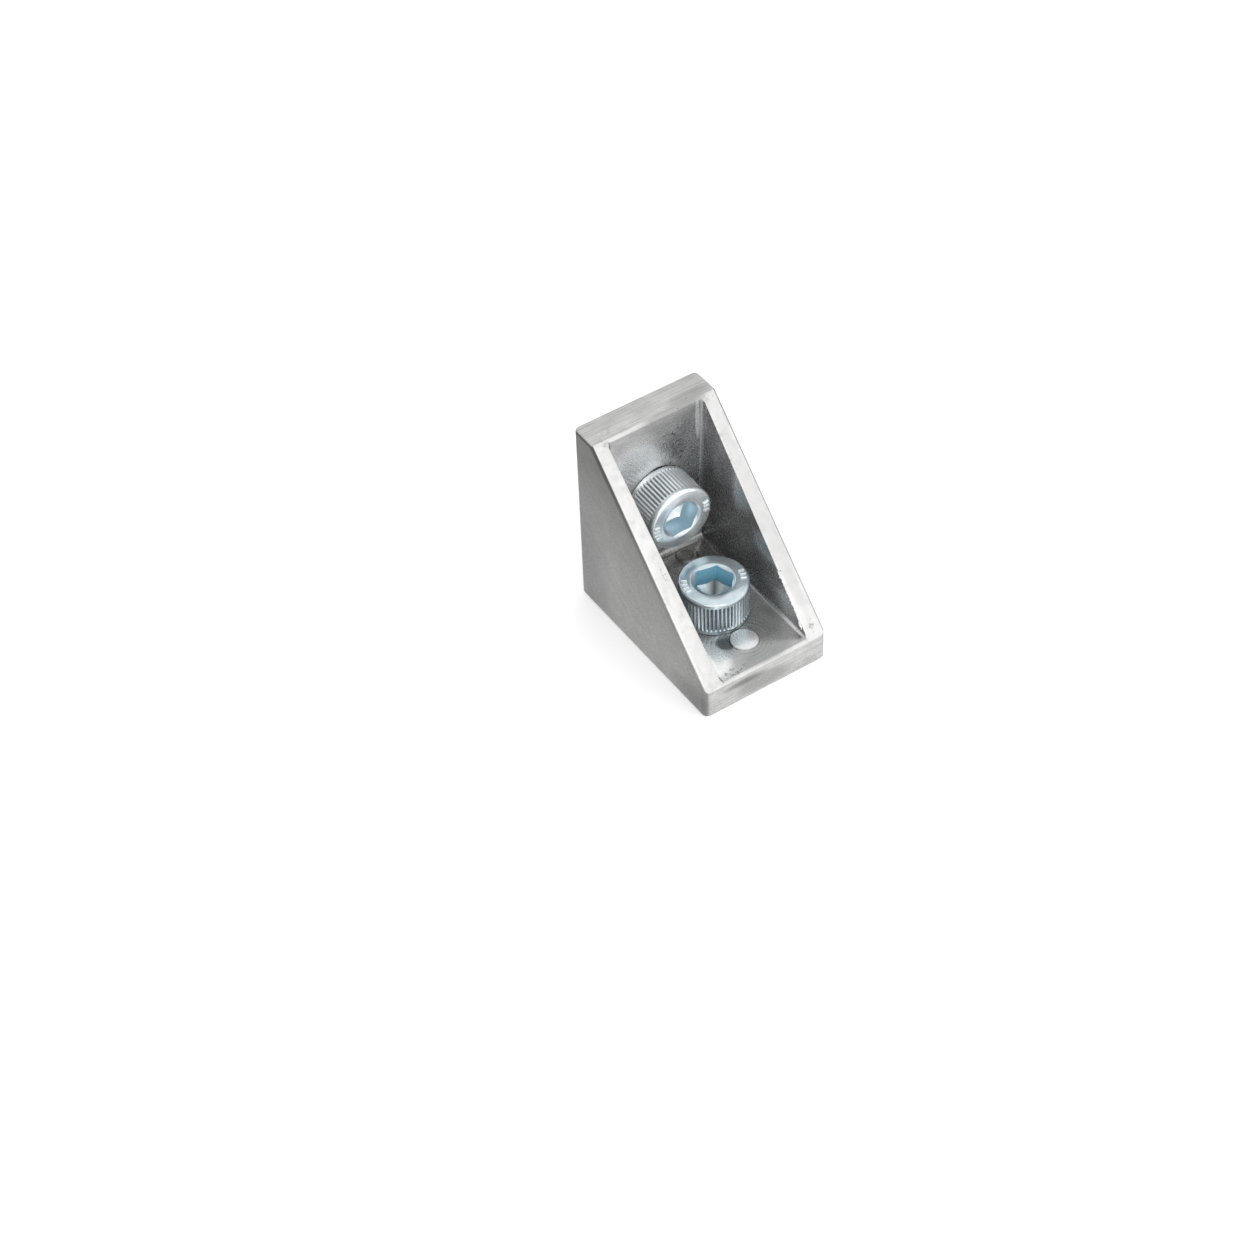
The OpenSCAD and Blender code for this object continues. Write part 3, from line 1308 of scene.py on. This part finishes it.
    def _shade_in_knurl(self, place: Vector) -> float:
        """The painted shade at a place on the head, from 0 on a crest to most in a groove.

        Args:
            place: The place in mm, on a screw upright at the origin.

        Returns:
            The share of painted shade.
        """
        groove = (self.head_r - 0.02 - math.hypot(place.x, place.y)) / self.knurl_depth
        in_knurl = self.knurl_low < place.z < self.knurl_high and groove < 1
        return max(0.0, groove) * self.groove_shade if in_knurl else 0.0


@dataclass
class Studio:
    """The pale table, the soft lights and the camera.

    Attributes:
        eye: The camera's place in mm.
        right: The picture's direction to the right.
        up: The picture's upward direction.
        focal_px: Focal length in pixels of the picture's side.
        table_side: Side of the table in metres.
        sky_low: The sky's strength on its dark side.
        sky_high: The sky's strength on its bright side.
        sky_towards: Where the sky is brightest.
        aim: Where the lamps point, in m.
        lamps: Each lamp's name, place in m, side in m and power in watts.
    """

    eye: tuple[float, float, float] = (262.9992, -170.3637, 308.2945)
    right: tuple[float, float, float] = (0.5607281, 0.8275551, -0.0271401)
    up: tuple[float, float, float] = (-0.5826099, 0.4176267, 0.6972472)
    focal_px: float = 3137.139
    table_side: float = 3.0
    sky_low: float = 0.66
    sky_high: float = 1.22
    sky_towards: tuple[float, float, float] = (0.5, 0.6, 0.62)
    aim: tuple[float, float, float] = (0.012, 0.0, 0.012)
    lamps: list[tuple[str, tuple[float, float, float], float, float]] = field(
        default_factory=lambda: [
            ("soft_key", (0.42, 0.40, 0.42), 0.40, 0.06),
            ("soft_top", (-0.25, 0.15, 0.62), 0.50, 0.06),
            ("soft_front", (0.44, -0.12, 0.24), 0.24, 0.30),
            ("soft_left", (0.36, -0.46, 0.20), 0.30, 0.25),
        ]
    )

    def build(self) -> None:
        """Makes the table, the sky, the lamps and the camera."""
        self._lay_table()
        self._light_sky()
        for name, place, side, power in self.lamps:
            self._hang_lamp(name, Vector(place), side, power)
        self._set_camera()

    def _lay_table(self) -> None:
        """Lays the table under the foot's mounting face."""
        start_clean()
        bpy.ops.mesh.primitive_plane_add(size=self.table_side, location=(0, 0, 0))
        table = bpy.context.object
        table.name = "table"
        table.data.materials.append(OpalTable().build())

    def _light_sky(self) -> None:
        """Lights the studio all round, brighter on the side of the key lamp."""
        world = bpy.data.worlds.new("studio")
        bpy.context.scene.world = world
        world.use_nodes = True
        tree = world.node_tree
        tree.nodes.clear()
        way = add_node(tree, "ShaderNodeTexCoord").outputs["Generated"]
        towards = Vector(self.sky_towards).normalized()
        facing = add_node(
            tree, "ShaderNodeVectorMath", {0: way, 1: tuple(towards)}, operation="DOT_PRODUCT"
        ).outputs["Value"]
        strength = remap(tree, facing, (-0.8, 0.9), (self.sky_low, self.sky_high), smooth=True)
        back = add_node(
            tree, "ShaderNodeBackground", {"Color": linear("#FFFFFF"), "Strength": strength}
        )
        add_node(tree, "ShaderNodeOutputWorld", {"Surface": back})

    def _hang_lamp(self, name: str, place: Vector, side: float, power: float) -> None:
        """Hangs one square soft lamp that faces the object.

        Args:
            name: The lamp's name.
            place: Its place in m.
            side: Its side in m.
            power: Its power in watts.
        """
        data = bpy.data.lights.new(name, "AREA")
        data.shape = "SQUARE"
        data.size = side
        data.energy = power
        lamp = bpy.data.objects.new(name, data)
        bpy.context.scene.collection.objects.link(lamp)
        lamp.location = place
        way = Vector(self.aim) - place
        lamp.rotation_euler = way.to_track_quat("-Z", "Y").to_euler()

    def _set_camera(self) -> None:
        """Puts the camera where the photograph's camera stood."""
        data = bpy.data.cameras.new("camera")
        data.sensor_width = SENSOR_WIDTH
        data.lens = self.focal_px / PICTURE_SIDE * SENSOR_WIDTH
        data.dof.use_dof = False
        data.clip_start = 0.01
        data.clip_end = 20
        camera = bpy.data.objects.new("camera", data)
        bpy.context.scene.collection.objects.link(camera)
        right, up = Vector(self.right), Vector(self.up)
        turned = Matrix((right, up, right.cross(up))).transposed().to_4x4()
        camera.matrix_world = Matrix.Translation(Vector(self.eye) * MM) @ turned
        bpy.context.scene.camera = camera


def main() -> None:
    """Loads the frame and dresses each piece."""
    logging.basicConfig(level=logging.INFO, format="%(name)s: %(message)s")
    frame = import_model()
    nodes = frame["nodes"]
    cast = DieCastAluminium().build()
    zinc = BluePassivatedZinc().build()

    casting = Casting().build(nodes["bracket_body"], cast)
    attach(casting, "root")
    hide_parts("bracket_body")
    log.info("%s has %d faces", casting.name, len(casting.data.polygons))

    for seat in ScrewSeat:
        screw = CapScrew().build(seat, zinc)
        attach(screw, "root")
        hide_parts(seat.node)
        log.info("%s has %d faces", screw.name, len(screw.data.polygons))

    for name, finish in (("bracket_body", cast), ("foot_screw", zinc), ("wall_screw", zinc)):
        for slot in nodes[name].material_slots:
            slot.material = finish

    Studio().build()
    bpy.context.scene.view_settings.view_transform = "Standard"


if __name__ == "__main__":
    main()
